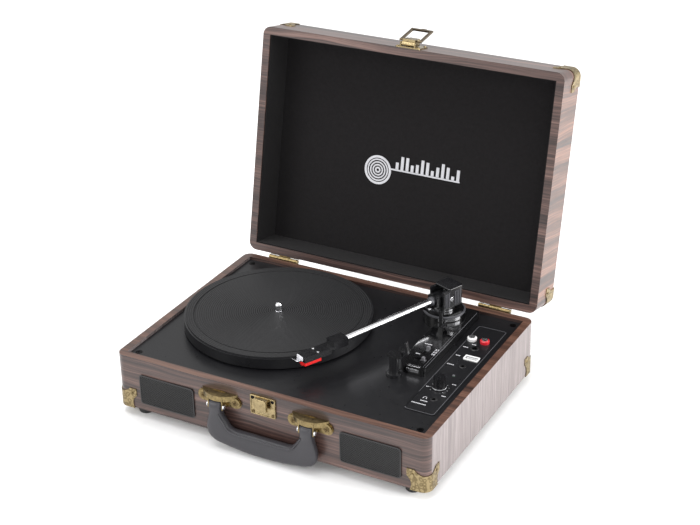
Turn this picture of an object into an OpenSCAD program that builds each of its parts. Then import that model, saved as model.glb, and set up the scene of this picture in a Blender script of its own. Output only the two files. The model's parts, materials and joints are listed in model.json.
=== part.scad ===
// Suitcase record player: a wooden case with a lift-up lid, a belt-driven platter,
// a straight tonearm, a row of sockets with a volume knob, and a carrying handle.
// Millimetres. X runs to the right, Y to the back, Z up from the soles of the feet.
// The lid is drawn open, on its hinge stop.

/* [Case] */
// Width of the case over its walls
case_w = 345; // [335:1:365]
// Depth of the case over its walls
case_d = 250; // [245:1:265]
// Height of the base box without its feet
base_h = 58; // [56:0.5:64]
// Height of the lid box
lid_h = 45; // [44:0.5:52]
// Thickness of the case walls
wall_t = 8.5; // [7.5:0.5:9]
// Radius of the upright outer corners
corner_r = 9; // [6:0.5:12]
// Height of the rubber feet
foot_h = 10; // [8:0.5:14]
// Angle of the lid when it rests on its stop
lid_open = 101.8; // [95:0.1:105]

/* [Speakers] */
// Distance of each speaker from the middle of the case
speaker_x = 113; // [108:1:118]
// Width of a speaker grille
grille_w = 64; // [60:1:68]
// Height of a speaker grille
grille_h = 33; // [30:1:34]

/* [Handle] */
// Distance of each handle bracket from the middle of the case
bracket_x = 50.2; // [48:0.2:54]
// Thickness of the grip
grip_t = 9; // [8:0.5:10]

/* [Turntable] */
// Diameter of the platter
platter_dia = 195; // [185:1:200]
// Diameter of the spindle
spindle_dia = 7.1; // [7.0:0.05:7.15]
// Height of the mat above the case rim
mat_top = 10.8; // [10:0.1:12]
// Left to right place of the spindle
spindle_x = -62; // [-64:1:-60]
// Front to back place of the spindle
spindle_y = 8; // [6:1:10]

/* [Tonearm] */
// Distance from the tonearm pivot to the stylus
arm_length = 184.3; // [180:0.1:188]
// Diameter of the arm tube
tube_dia = 6.4; // [6:0.1:7]
// Turn of the arm away from straight forward
arm_turn = 22.1; // [20:0.1:24]

/* [Hidden] */
$fn = 48;

// Case
half_w = case_w / 2;
half_d = case_d / 2;
in_w = case_w - 2 * wall_t;
in_d = case_d - 2 * wall_t;
rim_z = foot_h + base_h;
bottom_t = 4;
lid_top_t = 5;
lining_t = 1.2;
closed_gap = 0.3;
block_w = 16;
foot_r = 8.5;
foot_x = half_w - 22;
foot_y = half_d - 14;
guard_len = 22;
guard_t = 0.8;
guard_dip_r = 13;
guard_rivet = 16.5;

// Hinges: the pin sits behind the back wall at the height of the rim
pin_back = 3.4;
hinge_y = half_d + pin_back;
hinge_x = 127;
hinge_w = 36;
knuckle_r = 2.4;
hinge_pin_r = 1.2;
leaf_t = 1.2;
leaf_h = 14;

// The whole object is centred front to back between the handle and the open lid
pin_out = 8;
bead_t = 1.2;
strap_r = 6;
handle_front = pin_out + strap_r;
lid_back = pin_back - (case_d + guard_t + pin_back) * cos(lid_open)
         + (lid_h + guard_t) * sin(lid_open);
frame_y = (handle_front - lid_back) / 2;

// Deck and control panel
deck_drop = 3;
deck_top = rim_z - deck_drop;
deck_t = 2.5;
deck_under = deck_top - deck_t;
deck_gap = 0.3;
deck_screw_x = half_w - 16.5;
deck_screw_y = half_d - 16.5;
panel_x0 = 125.3;
panel_x1 = 157.5;
panel_y0 = -83;
panel_y1 = 92;
panel_rise = 0.6;
panel_top = deck_top + panel_rise;
board_top = deck_under - 9;
board_t = 1.6;

// Sockets on the panel, left to right and front to back
rca_x = [131.4, 145.2];
rca_y = 61.6;
power_at = [140.9, 46.5];
usb_at = [146.3, 27];
line_at = [144.6, 9.6];
phones_at = [145.2, -57.5];
led_at = [143.9, -10];
volume_at = [141, -36];
jack_r = 1.8;
power_r = 2.8;
post_at = [[128, -70], [155, -70], [128, 78], [155, 78]];

// Speakers
speaker_z = rim_z - 33.3;
window_w = grille_w - 10;
window_h = grille_h - 9;
grille_t = 1.4;
mesh_r = 0.95;
mesh_pitch = 3.1;

// Handle and its brackets; depths are counted out from the front wall
pin_z = rim_z - 21.5;
strap_w = 13.4;
handle_pin_r = 1.6;
handle_low = rim_z - 65.5;
bracket_screw_dx = 18;
bracket_z = rim_z - 17.8;
bracket_t = 1.2;
ear_in = strap_w / 2 + 0.4;
ear_t = 1.4;
hood_t = 1.6;
hood_h = 5.6;
hood_out = 11;
hood_low = rim_z - 15;

// Latch; heights on the lid are counted up from the rim with the lid closed
latch_x = -1.5;
plate_w = 28;
plate_t = 1.2;
keeper_top = rim_z - 2.5;
keeper_h = 21.5;
hook_w = 13.6;
hook_top = rim_z - 3.4;
hook_low = rim_z - 16;
hook_out = 5.6;
lever_pin_h = 4.8;
lever_pin_out = 3.8;
lever_w = 14.6;
lever_front = 8.8;
loop_pin_h = 9;
loop_pin_out = 7;
loop_len = 27;
loop_w = 25;
loop_t = 1.8;
loop_band = 3;
loop_rest = 17.8;
latch_pin_r = 0.9;

// Turntable and its drive
spindle_r = spindle_dia / 2;
spindle_top = rim_z + 19.5;
journal_r = 4;
platter_r = platter_dia / 2;
mat_t = 1.4;
platter_top = rim_z + mat_top - mat_t;
platter_low = deck_top + 1.6;
platter_web_t = 2.6;
drive_r = 60;
pulley_r = 6;
pulley_gap = 76;
pulley_turn = 135;
pulley_x = spindle_x + pulley_gap * cos(pulley_turn);
pulley_y = spindle_y + pulley_gap * sin(pulley_turn);
pulley_low = deck_top + 1.8;
pulley_h = 6;
belt_h = 4;
belt_t = 0.8;
belt_gap = 0.3;
motor_r = 16;
motor_h = 26;
shaft_r = 1;

// Tonearm platform, to the right of the platter
plat_x0 = 90;
plat_x1 = 119.5;
plat_y0 = -25;
plat_y1 = 108;
plat_top = rim_z + 5;
plat_r = 12;
pivot_x = 88;
pivot_y = 88;
boss_r = 21.5;
boss_top = rim_z + 11;
arm_z = rim_z + 25;
yoke_top = rim_z + 35.5;
yoke_w = 21;
yoke_wall = 2.6;
yoke_len = 25;
head_turn = 3.7;
tube_back = 6;
tube_front = 133;
tube_wall = 0.8;
sleeve_in = 8;
stylus_z = rim_z + 12.4;
plate_low = arm_z - 3.6;
speed_at = [105.5, 14];
auto_at = [110, -7];
rest_reach = 121;
rest_turn = 1.4;
rest_x = pivot_x + rest_reach * sin(rest_turn);
rest_y = pivot_y - rest_reach * cos(rest_turn);
saddle_z = arm_z - tube_dia / 2 - 0.5;
clip_pin_x = rest_x + 8;
clip_pin_z = saddle_z + 2.4;
clip_open = 80;
rail_r = 27;
rail_t = 2.4;
rail_low = arm_z - tube_dia / 2 - 0.3 - rail_t;
rod_at = [pivot_x + rail_r * sin(18), pivot_y - rail_r * cos(18)];
lever_at = [103, 52];
lever_pin_z = plat_top + 4.6;

// Places everything that belongs to the base.
module in_frame() {
    translate([0, frame_y, 0]) children();
}

// Places everything drawn on a closed lid, with its heights counted from the rim.
module on_lid() {
    in_frame()
        translate([0, hinge_y, rim_z])
            rotate([-lid_open, 0, 0])
                translate([0, -hinge_y, 0]) children();
}

// A rectangle with round corners.
module round_rect(w, d, r) {
    square([w - 2 * r, d], center = true);
    square([w, d - 2 * r], center = true);
    for (sx = [-1, 1], sy = [-1, 1])
        translate([sx * (w / 2 - r), sy * (d / 2 - r)]) circle(r);
}

// A rectangle with round corners drawn upright, facing the front.
module front_round_rect(w, h, r, t) {
    rotate([90, 0, 0]) linear_extrude(t, center = true) round_rect(w, h, r);
}

// A pin along X, centred on its own middle.
module cross_pin(r, length) {
    rotate([0, 90, 0]) cylinder(h = length, r = r, center = true);
}

// A pin along Y, centred on its own middle.
module depth_pin(r, length) {
    rotate([90, 0, 0]) cylinder(h = length, r = r, center = true);
}

// Four places mirrored about the middle of the case.
module at_corners(x, y) {
    for (sx = [-1, 1], sy = [-1, 1])
        translate([sx * x, sy * y, 0]) children();
}

// Mirrors a right back piece to any corner; side is -1 left, end is -1 front.
module facing(side, end) {
    mirror([side < 0 ? 1 : 0, 0, 0])
        mirror([0, end < 0 ? 1 : 0, 0]) children();
}

// The four walls of a box.
module case_ring(h) {
    linear_extrude(h)
        difference() {
            round_rect(case_w, case_d, corner_r);
            square([in_w, in_d], center = true);
        }
}

// Screw holes of the two handle brackets.
module bracket_screw_places() {
    for (side = [-1, 1], end = [-1, 1])
        translate([side * bracket_x + end * bracket_screw_dx, -half_d, bracket_z]) children();
}

module base_walls() {
    color("#5d4740")
        in_frame()
            difference() {
                union() {
                    translate([0, 0, foot_h]) case_ring(base_h);
                    at_corners(in_w / 2 - block_w / 2 + 0.5, in_d / 2 - block_w / 2 + 0.5)
                        translate([-block_w / 2, -block_w / 2, foot_h + bottom_t])
                            cube([block_w, block_w, deck_under - foot_h - bottom_t]);
                }
                for (side = [-1, 1])
                    translate([side * speaker_x, -half_d + wall_t / 2, speaker_z])
                        front_round_rect(window_w, window_h, 3, wall_t + 2);
                bracket_screw_places() depth_pin(1.5, 14);
                at_corners(deck_screw_x, deck_screw_y)
                    translate([0, 0, deck_under - 7]) cylinder(h = 8, r = 1.5);
            }
}

module base_bottom() {
    color("#3c3634")
        in_frame()
            translate([0, 0, foot_h])
                linear_extrude(bottom_t) square([in_w, in_d], center = true);
}

// Rubber foot with a slightly tapered skirt and a screw recess in its sole.
module foot(side, end) {
    color("#1c1c1d")
        in_frame()
            translate([side * foot_x, end * foot_y, 0])
                rotate_extrude()
                    polygon([[3, 0], [foot_r - 1.6, 0], [foot_r - 1, 0.8], [foot_r, foot_h - 1.5],
                             [foot_r, foot_h], [0, foot_h], [0, 4], [3, 4]]);
}

// Pressed metal cap for the corner of a box that fills x < 0, y < 0, z < 0.
module guard_cap() {
    reach = guard_len;
    difference() {
        translate([-corner_r, -corner_r, -reach]) {
            difference() {
                union() {
                    cylinder(h = reach + guard_t, r = corner_r + guard_t);
                    translate([-reach + corner_r, 0, 0])
                        cube([reach - corner_r, corner_r + guard_t, reach + guard_t]);
                    translate([0, -reach + corner_r, 0])
                        cube([corner_r + guard_t, reach - corner_r, reach + guard_t]);
                    translate([-reach + corner_r, -reach + corner_r, 0])
                        cube([reach - corner_r, reach - corner_r, reach + guard_t]);
                }
                translate([0, 0, -1]) {
                    cylinder(h = reach + 1, r = corner_r);
                    translate([-reach, -reach, 0]) cube([reach, reach + corner_r, reach + 1]);
                    translate([-1, -reach, 0]) cube([corner_r + 1, reach, reach + 1]);
                }
            }
        }
        // A shallow dip where each edge of the case runs out of the guard
        translate([-5, -5, -reach - 7]) sphere(guard_dip_r);
        translate([-5, -reach - 7, -5]) sphere(guard_dip_r);
        translate([-reach - 7, -5, -5]) sphere(guard_dip_r);
    }
    translate([-guard_rivet, -guard_rivet, guard_t]) cylinder(h = 0.6, r = 1.5);
    translate([-guard_rivet, guard_t + 0.3, -guard_rivet]) depth_pin(1.5, 0.6);
    translate([guard_t + 0.3, -guard_rivet, -guard_rivet]) cross_pin(1.5, 0.6);
}

// Guard on a bottom corner of the base; side is -1 left or 1 right, end is -1 front or 1 back.
module base_guard(side, end) {
    color("#a58c5f")
        in_frame()
            difference() {
                translate([side * half_w, end * half_d, foot_h])
                    facing(side, end) mirror([0, 0, 1]) guard_cap();
                translate([side * foot_x, end * foot_y, 0]) cylinder(h = foot_h, r = foot_r + 0.3);
            }
}

// Guard on a top corner of the lid.
module lid_guard(side, end) {
    color("#a58c5f")
        on_lid()
            translate([side * half_w, end * half_d, lid_h])
                facing(side, end) guard_cap();
}

// Perforated black sheet over a speaker window.
module grille(side) {
    columns = floor((window_w - 3) / mesh_pitch / 2);
    rows = floor((window_h - 2) / mesh_pitch / 2);
    color("#161617")
        in_frame()
            translate([side * speaker_x, -half_d - grille_t / 2, speaker_z])
                rotate([90, 0, 0])
                    linear_extrude(grille_t, center = true)
                        difference() {
                            round_rect(grille_w, grille_h, 3.5);
                            for (column = [-columns : columns], row = [-rows : rows])
                                translate([column * mesh_pitch, row * mesh_pitch])
                                    circle(mesh_r);
                        }
}

// Loudspeaker screwed behind the front wall: frame, basket and magnet.
module speaker(side) {
    color("#2b2b2d")
        in_frame()
            translate([side * speaker_x, -half_d + wall_t, speaker_z])
                difference() {
                    union() {
                        translate([0, 1, 0]) front_round_rect(window_w + 8, window_h + 12, 4, 2);
                        translate([0, 2, 0]) rotate([-90, 0, 0]) cylinder(h = 10, r1 = 17, r2 = 12);
                        translate([0, 12, 0]) rotate([-90, 0, 0]) cylinder(h = 8, r = 15);
                    }
                    translate([0, -0.1, 0]) rotate([-90, 0, 0]) cylinder(h = 8, r1 = 15.5, r2 = 8);
                }
}

// Plate on the base with a raised hook that the latch loop catches.
module latch_keeper() {
    color("#b8a27a")
        in_frame()
            translate([latch_x, -half_d, 0]) {
                translate([0, -plate_t / 2, keeper_top - keeper_h / 2])
                    front_round_rect(plate_w, keeper_h, 1.5, plate_t);
                translate([-hook_w / 2, -hook_out, hook_low])
                    cube([hook_w, 1.6, hook_top - hook_low]);
                translate([-hook_w / 2, -hook_out, hook_top - 3])
                    cube([hook_w, hook_out, 3]);
                for (sx = [-1, 1], sz = [3, keeper_h - 3])
                    translate([sx * (plate_w / 2 - 3), -plate_t - 0.35, keeper_top - sz])
                        depth_pin(1.4, 0.7);
            }
}

// Cast bracket: a lens-shaped plate, a half-moon hood and two ears that hold the handle pin.
module handle_bracket(side) {
    color("#a8905f")
        in_frame()
            translate([side * bracket_x, -half_d, 0])
                difference() {
                    union() {
                        translate([0, -bracket_t / 2, bracket_z])
                            rotate([90, 0, 0])
                                linear_extrude(bracket_t, center = true) bracket_outline();
                        for (end = [-1, 1])
                            translate([end * bracket_screw_dx, -1.3, bracket_z])
                                depth_pin(5.6, 2.6);
                        hood();
                        for (end = [-1, 1])
                            translate([end * (ear_in + ear_t / 2), -pin_out / 2 - 1, pin_z + 3.5])
                                cube([ear_t, pin_out + 2, 13], center = true);
                    }
                    for (end = [-1, 1])
                        translate([end * bracket_screw_dx, 0, bracket_z]) {
                            depth_pin(1.5, 14);
                            translate([0, -2.4, 0]) depth_pin(3.1, 2);
                        }
                    translate([0, -pin_out, pin_z]) cross_pin(handle_pin_r, 40);
                }
}

// Front outline of a bracket plate: two round ends joined by a bowed upper edge.
module bracket_outline() {
    bow_r = 48;
    for (end = [-1, 1])
        translate([end * bracket_screw_dx, 0]) circle(6.5);
    translate([-bracket_screw_dx, -6.5]) square([2 * bracket_screw_dx, 9]);
    intersection() {
        translate([0, 9 - bow_r]) circle(bow_r);
        translate([-bracket_screw_dx - 4, -2]) square([2 * bracket_screw_dx + 8, 14]);
    }
}

// Half-moon hood over the strap end, standing out from the wall.
module hood() {
    chord = 20;
    moon_r = (chord * chord + hood_out * hood_out) / (2 * hood_out);
    translate([0, 0, hood_low])
        intersection() {
            difference() {
                translate([0, moon_r - hood_out, 0]) cylinder(h = hood_h, r = moon_r);
                translate([0, moon_r - hood_out, -1]) cylinder(h = hood_h - 0.6, r = moon_r - hood_t);
            }
            translate([-chord, -hood_out, 0]) cube([2 * chord, hood_out, hood_h]);
        }
}

module handle_pins() {
    color("#c9c9cc")
        in_frame()
            for (side = [-1, 1])
                translate([side * bracket_x, -half_d - pin_out, pin_z])
                    cross_pin(handle_pin_r, 2 * (ear_in + ear_t) + 1.2);
}

// Opening inside the handle, grown outwards by a margin.
module grip_opening(grow) {
    top = 30;
    edge = bracket_x - strap_w / 2 + grow;
    polygon([[-edge, top], [-edge, -7], [-37 - grow, -14.5], [37 + grow, -14.5],
             [edge, -7], [edge, top]]);
    for (end = [-1, 1])
        translate([end * 29, -14.5]) circle(8 + grow);
    translate([-29, -22.5 - grow]) square([58, 12]);
}

// Front outline of the handle below its pins, with a bowed lower edge.
module grip_outline() {
    low = handle_low - pin_z;
    side = bracket_x + strap_w / 2;
    bow_r = 228;
    difference() {
        intersection() {
            union() {
                polygon([[-side, 0], [-side, -8], [-61, -20], [-61, -30],
                         [61, -30], [61, -20], [side, -8], [side, 0]]);
                translate([-48, low]) square([96, -low - 20]);
                for (end = [-1, 1])
                    translate([end * 48, -26]) circle(13);
            }
            translate([0, low + bow_r]) circle(bow_r, $fn = 96);
        }
        grip_opening(0);
    }
}

// Moulded carrying handle with a raised bead along its inner edge.
module handle() {
    color("#55535a")
        in_frame()
            translate([0, -half_d - pin_out, pin_z])
                difference() {
                    union() {
                        rotate([90, 0, 0])
                            linear_extrude(grip_t, center = true) grip_outline();
                        translate([0, -grip_t / 2, 0])
                            rotate([90, 0, 0])
                                linear_extrude(bead_t)
                                    intersection() {
                                        difference() {
                                            grip_opening(2.6);
                                            grip_opening(0);
                                        }
                                        translate([-70, -60]) square([140, 54]);
                                    }
                        for (side = [-1, 1])
                            translate([side * bracket_x, 0, 0]) cross_pin(strap_r, strap_w);
                    }
                    for (side = [-1, 1])
                        translate([side * bracket_x, 0, 0])
                            cross_pin(handle_pin_r + 0.08, strap_w + 2);
                }
}

// The same pan head screws hold the deck down and hold the handle brackets.
module case_screws() {
    color("#8f7a4e")
        in_frame() {
            at_corners(deck_screw_x, deck_screw_y)
                translate([0, 0, deck_top - 1.2]) rotate([180, 0, 0]) screw();
            bracket_screw_places()
                translate([0, -1.5, 0]) rotate([-90, 0, 0]) screw();
        }
}

// A short screw with a pan head and a cross slot, pointing up from its head.
module screw() {
    difference() {
        union() {
            translate([0, 0, -1.3]) cylinder(h = 1.3, r = 3);
            cylinder(h = 7, r = 1.5);
        }
        translate([0, 0, -1.3]) cube([3.6, 0.7, 1.2], center = true);
        translate([0, 0, -1.3]) cube([0.7, 3.6, 1.2], center = true);
    }
}

// Moulded deck with its raised control panel and the posts for the board.
module deck() {
    color("#222224")
        in_frame()
            difference() {
                union() {
                    translate([0, 0, deck_under])
                        linear_extrude(deck_t)
                            square([in_w - 2 * deck_gap, in_d - 2 * deck_gap], center = true);
                    translate([(panel_x0 + panel_x1) / 2, (panel_y0 + panel_y1) / 2, deck_under])
                        linear_extrude(deck_t + panel_rise)
                            round_rect(panel_x1 - panel_x0, panel_y1 - panel_y0, 3);
                    for (post = post_at)
                        translate([post.x, post.y, board_top])
                            cylinder(h = deck_under - board_top + 0.5, r = 3);
                }
                at_corners(deck_screw_x, deck_screw_y) {
                    translate([0, 0, deck_top - 1.2]) cylinder(h = 3, r = 3.6);
                    translate([0, 0, deck_under - 1]) cylinder(h = 5, r = 1.5);
                }
                translate([spindle_x, spindle_y, deck_under - 1]) cylinder(h = 5, r = 6);
                translate([pulley_x, pulley_y, deck_under - 1]) cylinder(h = 5, r = 3);
                for (x = rca_x)
                    translate([x, rca_y, deck_under - 1]) cylinder(h = 9, r = 4.6);
                translate([power_at.x, power_at.y, deck_under - 1]) cylinder(h = 9, r = 4.2);
                translate([usb_at.x, usb_at.y, deck_under + 3]) cube([14.4, 7.6, 12], center = true);
                for (jack = [line_at, phones_at])
                    translate([jack.x, jack.y, deck_under - 1]) cylinder(h = 9, r = 3.2);
                translate([led_at.x, led_at.y, deck_under - 1]) cylinder(h = 9, r = 1.6);
                translate([volume_at.x, volume_at.y, deck_under - 1]) cylinder(h = 9, r = 3.4);
                translate([rod_at.x, rod_at.y, deck_under - 1]) cylinder(h = 9, r = 2.4);
            }
}

// Outline of the raised platform beside the platter.
module platform_outline() {
    w = plat_x1 - plat_x0;
    translate([plat_x0 + w / 2, (plat_y0 + plat_y1) / 2]) {
        difference() {
            square([w, plat_y1 - plat_y0], center = true);
            translate([-w / 2, -(plat_y1 - plat_y0) / 2]) square(2 * plat_r, center = true);
            for (end = [-1, 1])
                translate([w / 2, end * (plat_y1 - plat_y0) / 2]) square(8, center = true);
        }
        translate([-w / 2 + plat_r, -(plat_y1 - plat_y0) / 2 + plat_r]) circle(plat_r);
        for (end = [-1, 1])
            translate([w / 2 - 4, end * ((plat_y1 - plat_y0) / 2 - 4)]) circle(4);
    }
}

// Glossy platform that carries the tonearm boss, the switches and the lift lever.
module tonearm_platform() {
    color("#121214")
        in_frame()
            difference() {
                union() {
                    translate([0, 0, deck_top])
                        linear_extrude(plat_top - deck_top) platform_outline();
                    translate([pivot_x, pivot_y, deck_top])
                        cylinder(h = boss_top - deck_top, r = boss_r);
                    for (end = [-1, 1])
                        translate([lever_at.x, lever_at.y + end * 4.6, plat_top + 3])
                            cube([5, 2, 7], center = true);
                }
                translate([speed_at.x, speed_at.y - 4.2, plat_top]) cube([4, 15, 4], center = true);
                translate([auto_at.x - 2.5, auto_at.y, plat_top]) cube([12, 4, 4], center = true);
                translate([rod_at.x, rod_at.y, deck_top - 1]) cylinder(h = 20, r = 2.4);
                translate([lever_at.x, lever_at.y, lever_pin_z]) depth_pin(1.25, 20);
                translate([pivot_x, pivot_y, boss_top - 6]) cylinder(h = 8, r = 4.05);
            }
}

// Fixed spindle with the shoulder that the platter turns on.
module spindle() {
    color("#c4c4c6")
        in_frame()
            translate([spindle_x, spindle_y, 0])
                rotate_extrude()
                    polygon([[0, deck_under - 12], [6, deck_under - 12], [6, platter_low - 0.1],
                             [journal_r, platter_low - 0.1], [journal_r, rim_z + mat_top - 0.2],
                             [spindle_r, rim_z + mat_top - 0.2], [spindle_r, spindle_top - 2.5],
                             [spindle_r - 1.3, spindle_top - 0.5], [spindle_r - 2.2, spindle_top],
                             [0, spindle_top]]);
}

// Platter: web, outer skirt, hub and the inner ring that the belt drives.
module platter() {
    color("#2c2c2e")
        in_frame()
            translate([spindle_x, spindle_y, 0])
                difference() {
                    translate([0, 0, platter_low])
                        cylinder(h = platter_top - platter_low, r = platter_r);
                    translate([0, 0, platter_low - 1])
                        difference() {
                            cylinder(h = platter_top - platter_web_t - platter_low + 1, r = platter_r - 4);
                            cylinder(h = 40, r = drive_r);
                        }
                    translate([0, 0, platter_low - 1])
                        difference() {
                            cylinder(h = platter_top - platter_web_t - platter_low + 1, r = drive_r - 3);
                            cylinder(h = 40, r = 9);
                        }
                    translate([0, 0, platter_low - 1]) cylinder(h = 40, r = journal_r + 0.05);
                }
}

module platter_mat() {
    color("#1d1d1f")
        in_frame()
            translate([spindle_x, spindle_y, platter_top])
                difference() {
                    cylinder(h = mat_t, r = platter_r - 2);
                    translate([0, 0, -1]) cylinder(h = 5, r = journal_r + 0.6);
                    translate([0, 0, mat_t - 0.5])
                        difference() {
                            cylinder(h = 2, r = platter_r - 10);
                            cylinder(h = 6, r = platter_r - 11, center = true);
                        }
                }
}

// Block around the drive ring and the pulley, grown outwards by a margin.
module belt_block(grow, h) {
    dx = (drive_r - pulley_r) / pulley_gap;
    dy = sqrt(1 - dx * dx);
    // The straight sides cut a hair into both cylinders, so that they join cleanly
    big = drive_r + grow - 0.02;
    small = pulley_r + grow - 0.02;
    cylinder(h = h, r = drive_r + grow);
    translate([pulley_gap, 0, 0]) cylinder(h = h, r = pulley_r + grow);
    linear_extrude(h)
        polygon([[big * dx, big * dy], [pulley_gap + small * dx, small * dy],
                 [pulley_gap + small * dx, -small * dy], [big * dx, -big * dy]]);
}

module drive_belt() {
    color("#151515")
        in_frame()
            translate([spindle_x, spindle_y, pulley_low + 1])
                rotate([0, 0, pulley_turn])
                    difference() {
                        belt_block(belt_gap + belt_t, belt_h);
                        translate([0, 0, -1]) belt_block(belt_gap, belt_h + 2);
                    }
}

// Motor can hung under the deck, with its flange and shaft.
module motor() {
    color("#b9b9bb")
        in_frame()
            translate([pulley_x, pulley_y, 0]) {
                translate([0, 0, deck_under - motor_h]) cylinder(h = motor_h - 2, r = motor_r);
                translate([0, 0, deck_under - 2])
                    linear_extrude(2) round_rect(46, 34, 6);
                translate([0, 0, deck_under - 1]) cylinder(h = deck_t + 8, r = shaft_r);
            }
}

module motor_pulley() {
    color("#c9ab5a")
        in_frame()
            translate([pulley_x, pulley_y, pulley_low])
                rotate_extrude()
                    polygon([[shaft_r + 0.05, 0], [pulley_r - 0.6, 0], [pulley_r - 0.6, 0.6],
                             [pulley_r, 1], [pulley_r, pulley_h - 1], [pulley_r - 0.6, pulley_h - 0.6],
                             [pulley_r - 0.6, pulley_h], [shaft_r + 0.05, pulley_h]]);
}

// Circuit board with the volume control, the power light and an amplifier cooler.
module main_board() {
    color("#2f5d3a")
        in_frame()
            difference() {
                union() {
                    translate([(panel_x0 + panel_x1) / 2, 2, board_top - board_t / 2])
                        cube([34, 168, board_t], center = true);
                    translate([volume_at.x, volume_at.y, board_top + 3.5])
                        cube([12, 12, 7], center = true);
                    translate([led_at.x, led_at.y, board_top])
                        cylinder(h = panel_top + 0.3 - board_top, r = 1.5);
                    translate([132, 8, board_top + 2.5]) cube([8, 24, 5], center = true);
                }
                translate([volume_at.x, volume_at.y, board_top + 2]) cylinder(h = 12, r = 3.05);
            }
}

// Twin phono sockets on one block.
module rca_sockets() {
    color("#e6e6e6")
        in_frame()
            difference() {
                union() {
                    translate([(rca_x[0] + rca_x[1]) / 2, rca_y, board_top + 4])
                        cube([24, 10, 8], center = true);
                    for (x = rca_x)
                        translate([x, rca_y, board_top]) cylinder(h = panel_top + 1.6 - board_top, r = 4.4);
                }
                for (x = rca_x)
                    translate([x, rca_y, panel_top - 9]) cylinder(h = 12, r = 1.7);
            }
}

// Upright USB socket with its open mouth at the top.
module usb_socket() {
    color("#d9d9db")
        in_frame()
            translate([usb_at.x, usb_at.y, 0])
                difference() {
                    translate([0, 0, (board_top + panel_top + 0.6) / 2])
                        cube([14, 7.2, panel_top + 0.6 - board_top], center = true);
                    translate([0, -0.9, panel_top - 3.5]) cube([12.6, 4.4, 9], center = true);
                }
}

// Round barrel socket with a centre pin.
module power_jack() {
    color("#1a1a1b")
        in_frame()
            translate([power_at.x, power_at.y, 0]) {
                difference() {
                    union() {
                        translate([0, 0, board_top + 4]) cube([10, 9, 8], center = true);
                        translate([0, 0, board_top]) cylinder(h = panel_top + 0.4 - board_top, r = 4);
                    }
                    translate([0, 0, panel_top - 9]) cylinder(h = 12, r = power_r);
                }
                translate([0, 0, board_top + 1]) cylinder(h = 8, r = 0.9);
            }
}

// Small jack socket with a straight bore.
module small_jack(place) {
    in_frame()
        translate([place.x, place.y, 0])
            difference() {
                union() {
                    translate([0, 0, board_top + 4.2]) cube([8, 8, 8.4], center = true);
                    translate([0, 0, board_top]) cylinder(h = panel_top + 0.4 - board_top, r = 3);
                }
                translate([0, 0, panel_top - 11]) cylinder(h = 14, r = jack_r);
            }
}

module line_in_jack() {
    color("#19191a") small_jack(line_at);
}

module headphone_jack() {
    color("#19191a") small_jack(phones_at);
}

// Knob with its shaft, a pointer groove and finger flutes.
module volume_knob() {
    color("#202022")
        in_frame()
            translate([volume_at.x, volume_at.y, 0])
                difference() {
                    union() {
                        translate([0, 0, panel_top + 0.6]) cylinder(h = 12, r = 6);
                        translate([0, 0, panel_top + 0.6]) cylinder(h = 1.4, r = 7);
                        translate([0, 0, board_top + 2.4]) cylinder(h = panel_top + 2 - board_top, r = 3);
                    }
                    for (flute = [0 : 15])
                        rotate([0, 0, flute * 22.5])
                            translate([6.35, 0, panel_top + 3.4]) cylinder(h = 12, r = 0.7);
                    translate([0, -3.6, panel_top + 12.6]) cube([0.9, 4.4, 1.2], center = true);
                }
}

// Sliding tab standing out of a slot in the platform.
module slide_tab(place, along_x) {
    in_frame()
        translate([place.x, place.y, plat_top])
            rotate([0, 0, along_x ? 90 : 0]) {
                translate([0, 0, -1]) cube([3.4, 5.4, 1.4], center = true);
                translate([0, 0, 0.8]) cube([3.2, 2.6, 4.4], center = true);
            }
}

module speed_switch() {
    color("#d8d8d8") slide_tab(speed_at, false);
}

module auto_stop_switch() {
    color("#d8d8d8") slide_tab(auto_at, true);
}

// Places everything on the turning tonearm, with the arm along -Y from its pivot.
module on_arm() {
    in_frame()
        translate([pivot_x, pivot_y, 0])
            rotate([0, 0, -arm_turn]) children();
}

// Turning fork: journal, round foot, two cheeks and a cap.
module tonearm_yoke() {
    color("#1b1b1d")
        on_arm() {
            translate([0, 0, boss_top - 5.5]) cylinder(h = 7, r = 4);
            translate([0, 0, boss_top + 0.3]) cylinder(h = 5, r = 9.5);
            difference() {
                union() {
                    for (side = [-1, 1])
                        translate([side * (yoke_w - yoke_wall) / 2, 2, (boss_top + 4.5 + yoke_top) / 2])
                            cube([yoke_wall, yoke_len, yoke_top - boss_top - 4.5], center = true);
                    translate([0, 2, boss_top + 5.6]) cube([yoke_w, yoke_len, 2.4], center = true);
                    translate([0, 7, yoke_top - 1]) cube([yoke_w, 15, 2], center = true);
                }
                translate([0, 0, arm_z]) cross_pin(1.25, 40);
            }
        }
}

// Block that the tube is pressed into, with the cross pin that it tilts on.
module tonearm_block() {
    color("#1b1b1d")
        on_arm() {
            difference() {
                translate([0, -4, arm_z - 0.6]) cube([13.6, 25, 10.4], center = true);
                translate([0, -13.5, arm_z + 5]) cube([6, 8, 3], center = true);
                translate([0, -tube_back - 6, arm_z]) depth_pin(tube_dia / 2, 12);
            }
            translate([0, 0, arm_z]) cross_pin(1.2, yoke_w);
        }
}

// Chromed tube, hollow for the cartridge wires.
module tonearm_tube() {
    length = tube_front + sleeve_in - tube_back;
    color("#cfcfd2")
        on_arm()
            translate([0, -tube_back - length / 2, arm_z])
                difference() {
                    depth_pin(tube_dia / 2, length);
                    depth_pin(tube_dia / 2 - tube_wall, length + 2);
                }
}

// Places the pieces at the front of the tube, which turn in a little.
module on_head() {
    on_arm()
        translate([0, -tube_front, 0])
            rotate([0, 0, -head_turn]) children();
}

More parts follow.
